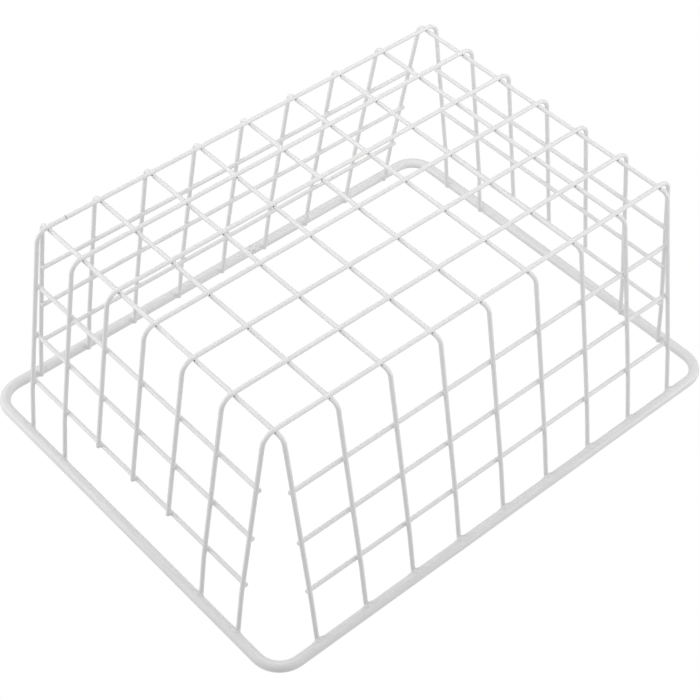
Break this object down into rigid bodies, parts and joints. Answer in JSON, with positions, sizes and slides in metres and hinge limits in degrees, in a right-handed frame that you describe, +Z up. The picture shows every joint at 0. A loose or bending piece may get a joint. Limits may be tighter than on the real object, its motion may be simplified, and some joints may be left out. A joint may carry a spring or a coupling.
{
  "type": "wire basket",
  "caption": "Welded, white coated wire basket with flared walls, a thick rim and a hand grip at each end, standing upside down on its rim.",
  "frame": {"origin": "on the plane that the rim stands on, under the middle of the basket", "axes": "+X along the basket, parallel to its long walls; +Y across it, from the front wall to the rear wall; +Z up as it stands here, from the rim to the floor grid. Turned half a turn about X, it stands on its floor grid and is open at the top."},
  "size_m": [0.399, 0.308, 0.169],
  "materials": {
    "mesh_coating": "semi-gloss white plastic coating",
    "rim_coating": "semi-gloss white plastic coating"
  },
  "bodies": {
    "root": {"rim_wire": "rim_coating", "long_wire_1": "mesh_coating", "long_wire_2": "mesh_coating", "long_wire_3": "mesh_coating", "long_wire_4": "mesh_coating", "long_wire_5": "mesh_coating", "long_wire_6": "mesh_coating", "long_wire_7": "mesh_coating", "cross_wire_1": "mesh_coating", "cross_wire_2": "mesh_coating", "cross_wire_3": "mesh_coating", "cross_wire_4": "mesh_coating", "cross_wire_5": "mesh_coating", "cross_wire_6": "mesh_coating", "cross_wire_7": "mesh_coating", "cross_wire_8": "mesh_coating", "cross_wire_9": "mesh_coating", "front_rail_1": "mesh_coating", "front_rail_2": "mesh_coating", "front_rail_3": "mesh_coating", "rear_rail_1": "mesh_coating", "rear_rail_2": "mesh_coating", "rear_rail_3": "mesh_coating", "left_rail_1": "mesh_coating", "left_rail_2": "mesh_coating", "left_rail_3": "mesh_coating", "right_rail_1": "mesh_coating", "right_rail_2": "mesh_coating", "right_rail_3": "mesh_coating"}
  },
  "joints": []
}
